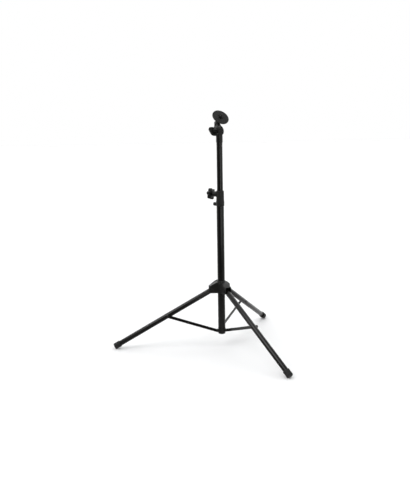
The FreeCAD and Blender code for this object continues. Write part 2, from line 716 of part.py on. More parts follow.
def make_hub_liner():
    """Nylon liner between hub and column."""
    liner = ring(LINER_R, LOWER_R + FIT, vec(0, 0, HUB_BOTTOM + 1), vec(0, 0, HUB_TOP))
    return liner.cut(hub_pad_hole())


def make_pivot_bolts():
    """Button-head bolts on which the legs turn."""
    bolts = []
    seat = HUB_PIVOT - SIDE * CHEEK_OUTER
    top = seat - SIDE * PIVOT_HEAD_HEIGHT
    for azimuth in LEG_AZIMUTHS.values():
        shank = rod(PIVOT_R, seat, HUB_PIVOT + SIDE * (CHEEK_OUTER + PIVOT_NUT_HEIGHT + 1.5))
        head = rounded(rod(PIVOT_HEAD_R, seat, top), 2.5, circle_at(top, PIVOT_HEAD_R))
        socket = hexagon(SOCKET, seat - SIDE * 1.2, top - SIDE * BEYOND)
        bolts.append(turned(joined(shank, head).cut(socket), azimuth))
    return bolts


def make_pivot_nuts():
    nuts = []
    start = HUB_PIVOT + SIDE * CHEEK_OUTER
    end = start + SIDE * PIVOT_NUT_HEIGHT
    for azimuth in LEG_AZIMUTHS.values():
        nut = hexagon(PIVOT_NUT_FLATS, start, end)
        nuts.append(turned(nut.cut(rod(PIVOT_R, start - SIDE, end + SIDE)), azimuth))
    return nuts


# ------------------------------------------------------------------ legs and braces

LEG_HEADING = vec(math.cos(LEG_DROP), 0, -math.sin(LEG_DROP))


def along_leg(distance, aside=0.0):
    """Point on the leg's axis, measured from the hub pivot, moved aside from the leg's plane."""
    return HUB_PIVOT + LEG_HEADING * distance + SIDE * aside


def make_leg_tube():
    start = along_leg(-LEG_HEEL + PLUG_FLANGE)
    tube = ring(LEG_R, LEG_R - LEG_WALL, start, along_leg(LEG_REACH - CAP_FLOOR))
    pivot_hole = rod(PIVOT_R + FIT, along_leg(0, -REACH), along_leg(0, REACH))
    bolt_hole = rod(SCREW_R, along_leg(BRACE_BOLT_ALONG, -REACH), along_leg(BRACE_BOLT_ALONG, REACH))
    return tube.cut([pivot_hole, bolt_hole])


def make_leg_plug():
    """Plug in the upper end of a leg, round the pivot bolt."""
    flange = rod(LEG_R, along_leg(-LEG_HEEL), along_leg(-LEG_HEEL + PLUG_FLANGE))
    spigot = rod(LEG_R - LEG_WALL, along_leg(-LEG_HEEL), along_leg(-LEG_HEEL + PLUG_LENGTH))
    pivot_hole = rod(PIVOT_R + FIT, along_leg(0, -REACH), along_leg(0, REACH))
    return joined(flange, spigot).cut(pivot_hole)


def make_foot_cap():
    """Rubber cap, with a small flat where it stands on the floor."""
    mouth = LEG_REACH - CAP_LENGTH
    body = rod(CAP_R, along_leg(mouth), along_leg(LEG_REACH))
    body = rounded(body, CAP_EDGE, circle_at(along_leg(LEG_REACH), CAP_R))
    bead = rod(CAP_R + 0.6, along_leg(mouth), along_leg(mouth + 4))
    bore = rod(LEG_R, along_leg(mouth - 1), along_leg(LEG_REACH - CAP_FLOOR))
    under_floor = Part.makeBox(200, 200, 50, vec(LEG_REACH - 150, -100, -50))
    return joined(body, bead).cut([bore, under_floor])


def make_leg_bolt():
    """Bolt through the leg, whose end carries the brace."""
    outer = BRACE_INNER - GAP
    shank = rod(SCREW_R, along_leg(BRACE_BOLT_ALONG, -LEG_R), along_leg(BRACE_BOLT_ALONG, outer))
    top = along_leg(BRACE_BOLT_ALONG, -LEG_R - LOW_HEAD_HEIGHT)
    seat = along_leg(BRACE_BOLT_ALONG, -LEG_R + LEG_WALL)
    head = rounded(rod(LOW_HEAD_R, seat, top), 1.8, circle_at(top, LOW_HEAD_R))
    across = rod(LEG_R, along_leg(BRACE_BOLT_ALONG - REACH), along_leg(BRACE_BOLT_ALONG + REACH))
    return joined(shank, head.cut(across))


def make_leg_spacer():
    """Round spacer that keeps the brace clear of the leg."""
    outer = BRACE_INNER - GAP
    body = ring(
        SPACER_R, SCREW_R, along_leg(BRACE_BOLT_ALONG, LEG_R - 2.5), along_leg(BRACE_BOLT_ALONG, outer)
    )
    return body.cut(rod(LEG_R, along_leg(BRACE_BOLT_ALONG - REACH), along_leg(BRACE_BOLT_ALONG + REACH)))


def brace_ends():
    foot = vec(BRACE_FOOT_R, 0, BRACE_FOOT_Z)
    return foot, along_leg(BRACE_BOLT_ALONG)


def make_brace():
    """Flat bar from the column's foot to the middle of a leg."""
    foot, head = brace_ends()
    half = BRACE_WIDTH / 2
    run = (head - foot).normalize()
    across = vec(-run.z, 0, run.x)
    corners = []
    for point, sign in ((foot, 1), (head, 1), (head, -1), (foot, -1)):
        corner = point + across * (sign * half)
        corners.append((corner.x, corner.z))
    near, far = SIDE * BRACE_INNER, SIDE * (BRACE_INNER + BRACE_THICK)
    bar = joined(
        plate(corners, near.y, far.y), rod(half, foot + near, foot + far), rod(half, head + near, head + far)
    )
    holes = [rod(BRACE_HOLE_R, foot, foot + SIDE * 2 * REACH), rod(SCREW_R, head, head + SIDE * 2 * REACH)]
    return bar.cut(holes)


def make_brace_pin():
    """Domed rivet at the leg end of a brace."""
    _, head = brace_ends()
    inner = head + SIDE * BRACE_INNER
    outer = head + SIDE * (BRACE_INNER + BRACE_THICK)
    top = outer + SIDE * LOW_HEAD_HEIGHT
    dome = rounded(rod(LOW_HEAD_R, outer, top), 2.0, circle_at(top, LOW_HEAD_R))
    return joined(rod(SCREW_R, inner, outer + SIDE), dome)


# ------------------------------------------------------------------ all parts

def main():
    os.makedirs("parts", exist_ok=True)
    save("lower_tube", make_lower_tube())
    save("column_foot", make_column_foot())
    save("brace_foot_screws", *make_brace_screws())
    save("collar", make_collar())
    save("collar_bushing", make_collar_bushing())
    save("collar_screw", make_collar_screw())
    save("star_knob", make_star_knob())
    save("star_stud", make_star_stud())
    save("star_clamp_pad", make_star_pad())
    save("upper_tube", make_upper_tube())
    save("upper_tube_bush", make_upper_bush())
    save("tilt_post", make_tilt_post())
    save("post_grub_screw", make_post_screw())
    save("tilt_bolt", make_tilt_bolt())
    save("tilt_washer", make_tilt_washer())
    save("tilt_fork", make_tilt_fork())
    save("mount_plate", make_mount_plate())
    save("plate_pad", make_plate_pad())
    save("mount_bolt", make_mount_bolt())
    save("mount_bolt_washer", make_bolt_washer())
    save("plate_nut", make_plate_nut())
    save("tilt_wing_knob", make_tilt_knob())
    save("hub", make_hub())
    save("hub_liner", make_hub_liner())
    save("hub_pivot_bolts", *make_pivot_bolts())
    save("hub_pivot_nuts", *make_pivot_nuts())
    save("hub_wing_knob", make_hub_knob())
    save("hub_clamp_screw", make_hub_screw())
    save("hub_clamp_pad", make_hub_pad())
    pieces = {
        "leg_tube": make_leg_tube(),
        "leg_plug": make_leg_plug(),
        "foot_cap": make_foot_cap(),
        "leg_bolt": make_leg_bolt(),
        "leg_spacer": make_leg_spacer(),
        "brace": make_brace(),
        "brace_pin": make_brace_pin(),
    }
    for side, azimuth in LEG_AZIMUTHS.items():
        for name, shape in pieces.items():
            save(f"{name}_{side}", turned(shape, azimuth))


main()
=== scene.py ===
import json
import math

import bmesh
import bpy
from mathutils import Matrix, Vector


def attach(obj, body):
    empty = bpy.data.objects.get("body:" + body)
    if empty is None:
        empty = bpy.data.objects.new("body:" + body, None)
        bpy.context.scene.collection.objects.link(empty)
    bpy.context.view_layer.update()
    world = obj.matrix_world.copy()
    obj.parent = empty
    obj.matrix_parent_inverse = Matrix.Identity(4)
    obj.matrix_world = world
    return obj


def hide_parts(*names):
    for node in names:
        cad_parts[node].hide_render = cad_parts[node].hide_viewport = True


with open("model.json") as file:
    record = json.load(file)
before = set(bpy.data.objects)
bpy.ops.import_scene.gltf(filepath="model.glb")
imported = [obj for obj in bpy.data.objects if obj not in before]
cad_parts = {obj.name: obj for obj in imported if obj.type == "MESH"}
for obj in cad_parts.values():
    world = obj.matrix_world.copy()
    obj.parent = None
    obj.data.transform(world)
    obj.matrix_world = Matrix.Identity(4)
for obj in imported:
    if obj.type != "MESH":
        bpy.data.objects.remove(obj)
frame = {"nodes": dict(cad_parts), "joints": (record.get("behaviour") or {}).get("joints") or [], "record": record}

# Looks of the tripod stand. Metres, +Z up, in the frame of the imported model.

MM = 0.001
UP = Vector((0, 0, 1))
ORIGIN = Vector((0, 0, 0))
SIDES = ("left", "front", "rear")
JOINTS = {joint["name"]: joint for joint in frame["joints"]}
MOUNTS = {mount["name"]: mount for mount in frame["record"]["mounts"]}
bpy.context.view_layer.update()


# ------------------------------------------------------------------ places taken from the frame

def heading(azimuth):
    """Level direction at an azimuth given in degrees."""
    return Vector((math.cos(math.radians(azimuth)), math.sin(math.radians(azimuth)), 0))


def joint_line(name):
    """Point and direction of a joint's axis."""
    joint = JOINTS[name]
    return Vector(joint["pos_m"]), Vector(joint["axis"]).normalized()


def stand_at(point, along, across):
    """Matrix that sets local Z along one direction and local X as near as it can to another."""
    z = along.normalized()
    x = (across - z * across.dot(z)).normalized()
    return Matrix.Translation(point) @ Matrix((x, z.cross(x), z)).transposed().to_4x4()


def measure(node, point, along):
    """Lowest and highest distance of a node along a line, and its greatest distance from the line."""
    low, high, radius = math.inf, -math.inf, 0.0
    for vertex in frame["nodes"][node].data.vertices:
        offset = vertex.co - point
        distance = offset.dot(along)
        low, high = min(low, distance), max(high, distance)
        radius = max(radius, (offset - along * distance).length)
    return low, high, radius


# ------------------------------------------------------------------ shader maths

class Wire:
    """One output of the nodes, so that sums on it are written as sums."""

    def __init__(self, nodes, socket):
        self.nodes = nodes
        self.socket = socket

    def math(self, operation, first, second):
        return self.nodes.make("ShaderNodeMath", {"operation": operation}, {0: first, 1: second})

    def __add__(self, other):
        return self.math("ADD", self, other)

    def __radd__(self, other):
        return self.math("ADD", other, self)

    def __sub__(self, other):
        return self.math("SUBTRACT", self, other)

    def __rsub__(self, other):
        return self.math("SUBTRACT", other, self)

    def __mul__(self, other):
        return self.math("MULTIPLY", self, other)

    def __rmul__(self, other):
        return self.math("MULTIPLY", other, self)


class Nodes:
    """The nodes of one material or of the world."""

    def __init__(self, tree):
        self.tree = tree
        self.place = self.make("ShaderNodeTexCoord", output="Object")

    def make(self, kind, settings=None, inputs=None, output=0):
        """Adds a node; settings are set first, then its sockets get values or links."""
        node = self.tree.nodes.new(kind)
        for name, value in (settings or {}).items():
            setattr(node, name, value)
        for name, value in (inputs or {}).items():
            self.feed(node.inputs[name], value)
        return Wire(self, node.outputs[output])

    def feed(self, socket, value):
        if isinstance(value, Wire):
            self.tree.links.new(value.socket, socket)
        else:
            socket.default_value = value

    def stretched(self, scale):
        """Object coordinates scaled differently along each axis."""
        return self.make("ShaderNodeMapping", inputs={"Vector": self.place, "Scale": scale})

    def noise(self, scale, detail=2.0, roughness=0.5, vector=None):
        return self.make(
            "ShaderNodeTexNoise",
            inputs={
                "Vector": vector or self.place,
                "Scale": scale,
                "Detail": detail,
                "Roughness": roughness,
            },
        )

    def pits(self, scale, vector=None):
        """Distance to the nearest point of a random set: round pits or grains."""
        return self.make("ShaderNodeTexVoronoi", inputs={"Vector": vector or self.place, "Scale": scale})

    def ramp(self, value, low, high, start=0.0, end=1.0):
        """Takes low..high to start..end, with soft ends."""
        return self.make(
            "ShaderNodeMapRange",
            {"interpolation_type": "SMOOTHSTEP"},
            {"Value": value, "From Min": low, "From Max": high, "To Min": start, "To Max": end},
        )

    def blend(self, mask, first, second):
        """Colour that goes from the first to the second as the mask goes from 0 to 1."""
        return self.make(
            "ShaderNodeMix",
            {"data_type": "RGBA"},
            {0: mask, 6: colour(first), 7: colour(second)},
            output=2,
        )

    def height(self):
        """Height above the floor at rest."""
        return self.make("ShaderNodeSeparateXYZ", inputs={0: self.place}, output="Z")


def colour(value):
    return value if isinstance(value, Wire) else (*value, 1.0)


class Finish(Nodes):
    """A material with its Principled shader."""

    def __init__(self, name, **constants):
        self.material = bpy.data.materials.new(name)
        self.material.use_nodes = True
        super().__init__(self.material.node_tree)
        self.shader = self.tree.nodes["Principled BSDF"]
        for socket, value in constants.items():
            self.shader.inputs[socket.replace("_", " ")].default_value = value

    def set(self, base, roughness, relief, depth, metallic=None):
        """Feeds what changes over the surface; relief is a height, depth its size in metres."""
        self.feed(self.shader.inputs["Base Color"], base)
        self.feed(self.shader.inputs["Roughness"], roughness)
        if metallic is not None:
            self.feed(self.shader.inputs["Metallic"], metallic)
        bump = self.make("ShaderNodeBump", inputs={"Height": relief, "Distance": depth, "Strength": 1.0})
        self.feed(self.shader.inputs["Normal"], bump)
        return self.material


# ------------------------------------------------------------------ materials

COAT_DARK = (0.0034, 0.0028, 0.0023)
COAT_LIGHT = (0.0056, 0.0048, 0.0042)
DUST = (0.085, 0.080, 0.072)


def tube_coat(name, sheen, scuff_scale):
    """Semi-gloss powder coat on a tube, with fine orange peel and scuffs that run with the tube."""
    finish = Finish(name, IOR=1.5)
    patches = finish.noise(7.0, 3.0)
    peel = finish.noise(620.0, 2.0)
    grain = finish.noise(2400.0, 1.0)
    scuffs = finish.noise(1.0, 4.0, 0.6, finish.stretched(scuff_scale))
    rubbed = finish.ramp(scuffs, 0.60, 0.78)
    specks = finish.ramp(finish.pits(210.0), 0.10, 0.03)
    base = finish.blend(patches, COAT_DARK, COAT_LIGHT)
    base = finish.blend(rubbed * 0.35 + specks * 0.25, base, (0.020, 0.018, 0.016))
    roughness = sheen + patches * 0.06 + rubbed * 0.10 + grain * 0.04
    return finish.set(base, roughness, peel * 0.9 + grain * 0.1 - rubbed * 0.15, 0.00004)


def bracket_coat(name):
    """Thicker powder coat on cut and pressed steel, slightly rubbed."""
    finish = Finish(name, IOR=1.5)
    patches = finish.noise(22.0, 3.0)
    peel = finish.noise(540.0, 2.0)
    grain = finish.noise(1900.0, 2.0)
    rubs = finish.ramp(finish.noise(46.0, 6.0, 0.7), 0.60, 0.74)
    base = finish.blend(patches, (0.0046, 0.0043, 0.0040), (0.0086, 0.0081, 0.0077))
    base = finish.blend(rubs * 0.5, base, (0.020, 0.019, 0.018))
    return finish.set(base, 0.36 + patches * 0.08 + rubs * 0.12, peel * 0.8 + grain * 0.2, 0.00006)


def moulded(name, dark, light, roughness, grain_depth, index=1.46):
    """Moulded plastic with a spark-eroded grain and a faint flow pattern."""
    finish = Finish(name, IOR=index)
    flow = finish.noise(30.0, 2.0)
    grain = finish.noise(2100.0, 3.0, 0.7)
    pits = finish.pits(1300.0)
    base = finish.blend(flow, dark, light)
    return finish.set(base, roughness + flow * 0.06 + grain * 0.10, grain * 0.6 + pits * 0.4, grain_depth)


def rubber(name, dusty):
    """Black rubber, greyed by dust low down where it is a foot."""
    finish = Finish(name, IOR=1.5)
    mottle = finish.noise(120.0, 4.0, 0.6)
    grain = finish.noise(1700.0, 3.0, 0.7)
    low = finish.ramp(finish.height(), 0.022, 0.0, 0.0, 0.55 if dusty else 0.05)
    base = finish.blend(mottle, (0.0080, 0.0080, 0.0078), (0.0150, 0.0150, 0.0146))
    base = finish.blend(low * finish.ramp(mottle, 0.35, 0.65), base, DUST)
    return finish.set(base, 0.58 + mottle * 0.16, grain * 0.5 + mottle * 0.5, 0.00007)


def dark_steel(name):
    """Blackened steel of bolts and nuts, bright where a tool has rubbed it."""
    finish = Finish(name, IOR=1.5)
    stain = finish.noise(260.0, 4.0, 0.6)
    grain = finish.noise(2600.0, 2.0)
    rubbed = finish.ramp(stain, 0.60, 0.72)
    base = finish.blend(rubbed * 0.6, (0.020, 0.019, 0.018), (0.11, 0.105, 0.10))
    return finish.set(base, 0.38 + stain * 0.14, grain, 0.000012, 0.55 + rubbed * 0.35)


def plated_steel(name):
    """Dulled zinc plating on the stud."""
    finish = Finish(name, IOR=1.5)
    stain = finish.noise(330.0, 4.0, 0.6)
    lines = finish.noise(1.0, 3.0, 0.6, finish.stretched((900.0, 900.0, 5200.0)))
    base = finish.blend(stain, (0.045, 0.044, 0.042), (0.085, 0.083, 0.080))
    return finish.set(base, 0.38 + stain * 0.16, lines, 0.000015, 0.85 + stain * 0.10)


TUBE = tube_coat("tube_coat", 0.17, (180.0, 180.0, 4.0))
LEG = tube_coat("leg_coat", 0.16, (60.0, 60.0, 22.0))
BRACKET = bracket_coat("bracket_coat")
COLLAR = moulded("collar_plastic", (0.0068, 0.0065, 0.0060), (0.0108, 0.0104, 0.0098), 0.42, 0.00003)
KNOB = moulded("knob_plastic", (0.0022, 0.0024, 0.0022), (0.0042, 0.0045, 0.0042), 0.32, 0.00002, 1.38)
NYLON = moulded("nylon", (0.0060, 0.0060, 0.0058), (0.0100, 0.0100, 0.0098), 0.40, 0.00001)
PAD = rubber("pad_rubber", False)
CAP = rubber("cap_rubber", True)
BOLTS = dark_steel("bolt_steel")
STUD = plated_steel("stud_steel")


# ------------------------------------------------------------------ making pieces

def done(name, shape, material, body, nodes, place=None, bevel=0.0, smooth=35.0):
    """Turns a shape into a finished piece that rides on a body and stands for CAD nodes."""
    if place:
        bmesh.ops.transform(shape, matrix=place, verts=shape.verts)
    mesh = bpy.data.meshes.new(name)
    shape.to_mesh(mesh)
    shape.free()
    mesh.shade_smooth()
    mesh.set_sharp_from_angle(angle=math.radians(smooth))
    mesh.materials.append(material)
    piece = bpy.data.objects.new(name, mesh)
    bpy.context.scene.collection.objects.link(piece)
    if bevel:
        edge = piece.modifiers.new("eased_edges", "BEVEL")
        edge.width = bevel
        edge.segments = 2
        edge.limit_method = "ANGLE"
        edge.angle_limit = math.radians(40)
        edge.use_clamp_overlap = False
        edge.harden_normals = True
    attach(piece, body)
    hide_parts(*nodes)
    return piece


def spun(outline, steps=64, shape=None):
    """Closed solid of revolution about local Z from (radius, height) points, listed upwards outside."""
    shape = shape or bmesh.new()
    points = [shape.verts.new((radius, 0, height)) for radius, height in outline]
    edges = [shape.edges.new(pair) for pair in zip(points, points[1:] + points[:1])]
    bmesh.ops.spin(
        shape,
        geom=points + edges,
        cent=ORIGIN,
        axis=UP,
        angle=math.tau,
        steps=steps,
        use_merge=True,
    )
    bmesh.ops.remove_doubles(shape, verts=shape.verts, dist=1e-7)
    bmesh.ops.recalc_face_normals(shape, faces=shape.faces)
    return shape


def eased(low, high, inner, outer, ease):
    """Outline of a ring whose four edges are slightly rounded."""
    ease_in = min(ease, (outer - inner) / 3)
    return [
        (inner + ease_in, low),
        (outer - ease_in, low),
        (outer - ease_in * 0.3, low + ease * 0.3),
        (outer, low + ease),
        (outer, high - ease),
        (outer - ease_in * 0.3, high - ease * 0.3),
        (outer - ease_in, high),
        (inner + ease_in, high),
        (inner, high - ease),
        (inner, low + ease),
    ]


def copied(node):
    """Copy of a CAD node's mesh with its loose triangles joined."""
    shape = bmesh.new()
    shape.from_mesh(frame["nodes"][node].data)
    bmesh.ops.remove_doubles(shape, verts=shape.verts, dist=2e-6)
    bmesh.ops.dissolve_limit(
        shape, angle_limit=math.radians(0.5), verts=shape.verts, edges=shape.edges
    )
    return shape


def carried(node, material, body, bevel):
    """A CAD node whose shape is right, with its edges eased."""
    return done(node + "_finished", copied(node), material, body, [node], bevel=bevel)


# ------------------------------------------------------------------ column

COLUMN_LINE = (ORIGIN, UP)
TUBE_WALL = 1.5 * MM
TUBE_EASE = 0.4 * MM                 # rounding of a tube's end
STAR_LOBES = 6
STAR_TURN = math.radians(14.0)
SCALLOP_DEPTH = 7.4 * MM


def make_tubes():
    for node, body in (("lower_tube", "column"), ("upper_tube", "mast")):
        low, high, radius = measure(node, *COLUMN_LINE)
        shape = spun(eased(low, high, radius - TUBE_WALL, radius, TUBE_EASE), 96)
        done(node + "_drawn", shape, TUBE, body, [node])


def make_star_knob():
    """Six-lobed knob with finger scallops, a raised cap and a rib round its back."""
    point, axis = joint_line("collar_knob_turn")
    low, high, radius = measure("star_knob", point, axis)
    neck = 5.5 * MM
    shape = bmesh.new()
    bmesh.ops.create_circle(shape, cap_ends=True, segments=144, radius=1.0)
    for vertex in shape.verts:
        angle = math.atan2(vertex.co.y, vertex.co.x)
        wave = 0.5 + 0.5 * math.cos(STAR_LOBES * angle)
        vertex.co = vertex.co * (radius - SCALLOP_DEPTH * (1 - wave ** 0.75))
    body = bmesh.ops.extrude_face_region(shape, geom=shape.faces[:])
    raised = [item for item in body["geom"] if isinstance(item, bmesh.types.BMVert)]
    bmesh.ops.translate(shape, verts=raised, vec=(0, 0, high - low - neck - 1.6 * MM))
    bmesh.ops.translate(shape, verts=shape.verts, vec=(0, 0, low + neck))
    bmesh.ops.recalc_face_normals(shape, faces=shape.faces)
    rims = [edge for edge in shape.edges if abs(edge.verts[0].co.z - edge.verts[1].co.z) < 1e-6]
    bmesh.ops.bevel(
        shape, geom=rims, offset=2.6 * MM, segments=4, profile=0.5, affect="EDGES", material=-1
    )
    front = max(shape.faces, key=lambda face: face.calc_center_median().z * 1000 + face.calc_area())
    bmesh.ops.inset_region(shape, faces=[front], thickness=3.2 * MM, depth=0.0)
    bmesh.ops.inset_region(shape, faces=[front], thickness=0.8 * MM, depth=-1.2 * MM)
    spun([
        (0.0, high - 4 * MM),
        (9.0 * MM, high - 4 * MM),
        (9.0 * MM, high - 1.4 * MM),
        (8.2 * MM, high - 0.4 * MM),
        (6.5 * MM, high),
        (0.0, high),
    ], 48, shape)
    spun([
        (4.2 * MM, low),
        (9.8 * MM, low),
        (10.5 * MM, low + 0.8 * MM),
        (10.5 * MM, low + neck + 1 * MM),
        (4.2 * MM, low + neck + 1 * MM),
    ], 48, shape)
    across = Matrix.Rotation(-STAR_TURN, 3, axis) @ UP
    place = stand_at(point, axis, across)
    done("star_knob_lobed", shape, KNOB, "collar_clamp", ["star_knob"], place)


WING_THICK = 8.0 * MM
WING_SIDE_AREA = 4e-4                # square metres; only the two broad sides are larger


def make_wing_knob(name, node, joint, body, across):
    """Wing knob: a dished wing with a raised rim, and a round hub."""
    point, axis = joint_line(joint)
    low, high, _ = measure(node, point, axis)
    half, foot, corner = 26.0 * MM, 4.0 * MM, 14.0 * MM
    top = high - low
    shape = bmesh.new()
    bmesh.ops.create_grid(shape, x_segments=1, y_segments=1, size=1.0)
    for vertex in shape.verts:
        vertex.co = (
            half * math.copysign(1, vertex.co.x),
            0,
            top if vertex.co.y > 0 else foot,
        )
    for level, radius, segments in ((top, corner, 10), (foot, 6.0 * MM, 5)):
        corners = [vertex for vertex in shape.verts if abs(vertex.co.z - level) < 1e-6]
        bmesh.ops.bevel(
            shape,
            geom=corners,
            offset=radius,
            segments=segments,
            profile=0.5,
            affect="VERTICES",
            material=-1,
        )
    body_of_wing = bmesh.ops.extrude_face_region(shape, geom=shape.faces[:])
    raised = [item for item in body_of_wing["geom"] if isinstance(item, bmesh.types.BMVert)]
    bmesh.ops.translate(shape, verts=raised, vec=(0, WING_THICK, 0))
    bmesh.ops.translate(shape, verts=shape.verts, vec=(0, -WING_THICK / 2, 0))
    bmesh.ops.recalc_face_normals(shape, faces=shape.faces)
    rims = [edge for edge in shape.edges if abs(edge.verts[0].co.y - edge.verts[1].co.y) < 1e-6]
    bmesh.ops.bevel(
        shape, geom=rims, offset=1.2 * MM, segments=3, profile=0.5, affect="EDGES", material=-1
    )
    for inset, sunk in ((2.6 * MM, 0.0), (0.9 * MM, -1.5 * MM)):
        sides = [
            face for face in shape.faces
            if abs(face.normal.y) > 0.99 and face.calc_area() > WING_SIDE_AREA
        ]
        bmesh.ops.inset_individual(shape, faces=sides, thickness=inset, depth=sunk)
    spun([
        (4.1 * MM, 0.0),
        (8.4 * MM, 0.0),
        (9.0 * MM, 0.6 * MM),
        (9.0 * MM, 14.0 * MM),
        (8.1 * MM, 16.1 * MM),
        (6.0 * MM, 17.0 * MM),
        (0.0, 17.0 * MM),
        (0.0, 13.0 * MM),
        (4.1 * MM, 13.0 * MM),
    ], 48, shape)
    place = stand_at(point + axis * low, axis, across)
    done(name, shape, KNOB, body, [node], place)


# ------------------------------------------------------------------ tilting head

STUD_POINT = Vector(MOUNTS["stud"]["pos_m"])
STUD_AXIS = Vector(MOUNTS["stud"]["axis"]).normalized()
HEAD_WAY = heading(-62.0)            # level direction in which the plate leans
THREAD_PITCH = 1.5 * MM
THREAD_DEPTH = 0.85 * MM
HEAD_FLATS = 17.0 * MM
HEAD_HEIGHT = 6.4 * MM
PLATE_HOLE_R = 5.1 * MM
PAD_HOLE_R = 12.5 * MM
PAD_RINGS = (34.0, 27.0, 20.0)       # radii in millimetres


def make_stud():
    """Hexagon-headed bolt with a rolled thread on the end that shows."""
    low, high, _ = measure("mount_bolt", STUD_POINT, STUD_AXIS)
    radius = MOUNTS["stud"]["dims"]["r_mm"] * MM
    pitch = THREAD_PITCH
    root = radius - THREAD_DEPTH
    thread_low = -MOUNTS["stud"]["dims"]["length_mm"] * MM / 2 - 2 * pitch
    turns = int((high - 1.2 * MM - thread_low) / pitch)
    steps = 28
    head = HEAD_HEIGHT
    shape = bmesh.new()
    points = [
        shape.verts.new((width, 0, thread_low + rise * pitch))
        for width, rise in ((root, 0.0), (radius, 0.38), (radius, 0.62), (root, 1.0))
    ]
    edges = [shape.edges.new(pair) for pair in zip(points, points[1:])]
    bmesh.ops.spin(
        shape,
        geom=points + edges,
        cent=ORIGIN,
        axis=UP,
        dvec=(0, 0, pitch / steps),
        angle=math.tau * turns,
        steps=steps * turns,
        use_merge=False,
    )
    bmesh.ops.remove_doubles(shape, verts=shape.verts, dist=1e-7)
    for vertex in shape.verts:
        limit = radius - max(0.0, vertex.co.z - (high - 1.4 * MM))
        reach = math.hypot(vertex.co.x, vertex.co.y)
        if reach > limit:
            vertex.co.x *= limit / reach
            vertex.co.y *= limit / reach
    bmesh.ops.recalc_face_normals(shape, faces=shape.faces)
    spun([
        (0.0, thread_low),
        (root + 0.05 * MM, thread_low),
        (root + 0.05 * MM, high - 1.0 * MM),
        (root - 0.75 * MM, high),
        (0.0, high),
    ], steps, shape)
    spun([
        (0.0, low + head - 1 * MM),
        (radius, low + head - 1 * MM),
        (radius, thread_low + pitch),
        (0.0, thread_low + pitch),
    ], 40, shape)
    hexagon = bmesh.ops.create_cone(
        shape,
        cap_ends=True,
        segments=6,
        radius1=HEAD_FLATS / math.sqrt(3),
        radius2=HEAD_FLATS / math.sqrt(3),
        depth=head,
        matrix=Matrix.Translation((0, 0, low + head / 2)),
    )
    edges = list({edge for vertex in hexagon["verts"] for edge in vertex.link_edges})
    bmesh.ops.bevel(shape, geom=edges, offset=0.5 * MM, segments=2, profile=0.5, affect="EDGES", material=-1)
    place = stand_at(STUD_POINT, STUD_AXIS, HEAD_WAY)
    done("stud_threaded", shape, STUD, "head", ["mount_bolt"], place)


def make_plate():
    """Round plate with a rolled edge, and the pad on it with moulded rings."""
    low, high, radius = measure("mount_plate", STUD_POINT, STUD_AXIS)
    place = stand_at(STUD_POINT, STUD_AXIS, HEAD_WAY)
    plate = spun(eased(low, high, PLATE_HOLE_R, radius, 0.7 * MM), 96)
    done("plate_turned", plate, BRACKET, "head", ["mount_plate"], place)
    low, high, radius = measure("plate_pad", STUD_POINT, STUD_AXIS)
    inner = PAD_HOLE_R
    outline = [
        (inner, low),
        (radius, low),
        (radius, high - 0.8 * MM),
        (radius - 0.25 * MM, high - 0.25 * MM),
        (radius - 0.8 * MM, high),
    ]
    for ring in PAD_RINGS:
        outline += [
            ((ring + 0.5) * MM, high),
            ((ring + 0.25) * MM, high - 0.3 * MM),
            ((ring - 0.25) * MM, high - 0.3 * MM),
            ((ring - 0.5) * MM, high),
        ]
    outline += [(inner + 0.5 * MM, high), (inner, high - 0.5 * MM)]
    done("pad_ringed", spun(outline, 96), PAD, "head", ["plate_pad"], place)


# ------------------------------------------------------------------ legs

CAP_BORE = 12.5 * MM
CAP_FLOOR = 4.0 * MM
CAP_GROOVES = (9.0, 13.5, 18.0)      # millimetres from the cap's upper end

def leg_line(side):
    """Pivot and direction of a leg; folded, the leg hangs straight down."""
    joint = JOINTS[side + "_leg_fold"]
    pivot = Vector(joint["pos_m"])
    drop = math.radians(90.0 - joint["range_deg"][1])
    outward = Vector((pivot.x, pivot.y, 0)).normalized()
    return pivot, outward * math.cos(drop) - UP * math.sin(drop)


def make_leg(side):
    pivot, along = leg_line(side)
    place = stand_at(pivot, along, UP)
    body = side + "_leg"
    low, high, radius = measure("leg_tube_" + side, pivot, along)
    tube = spun(eased(low, high, radius - TUBE_WALL, radius, TUBE_EASE), 64)
    done("leg_drawn_" + side, tube, LEG, body, ["leg_tube_" + side], place)
    low, high, radius = measure("foot_cap_" + side, pivot, along)
    shaft = radius - 0.6 * MM
    outline = [
        (0.0, high),
        (0.0, high - CAP_FLOOR),
        (CAP_BORE, high - CAP_FLOOR),
        (CAP_BORE, low),
        (radius - 0.4 * MM, low),
        (radius, low + 0.5 * MM),
        (radius, low + 3.4 * MM),
        (shaft, low + 4.2 * MM),
    ]
    for groove in CAP_GROOVES:
        outline += [
            (shaft, low + groove * MM),
            (shaft - 0.7 * MM, low + (groove + 0.5) * MM),
            (shaft - 0.7 * MM, low + (groove + 1.3) * MM),
            (shaft, low + (groove + 1.8) * MM),
        ]
    outline += [
        (shaft, high - 2.0 * MM),
        (shaft - 0.27 * MM, high - 1.0 * MM),
        (shaft - 1.0 * MM, high - 0.27 * MM),
        (shaft - 2.0 * MM, high),
    ]
    cap = spun(outline, 72)
    bmesh.ops.transform(cap, matrix=place, verts=cap.verts)
    cut = bmesh.ops.bisect_plane(
        cap,
        geom=cap.verts[:] + cap.edges[:] + cap.faces[:],
        plane_co=ORIGIN,
        plane_no=UP,
        clear_inner=True,
    )
    rim = [item for item in cut["geom_cut"] if isinstance(item, bmesh.types.BMEdge)]
    bmesh.ops.holes_fill(cap, edges=rim)
    done("foot_ribbed_" + side, cap, CAP, body, ["foot_cap_" + side])


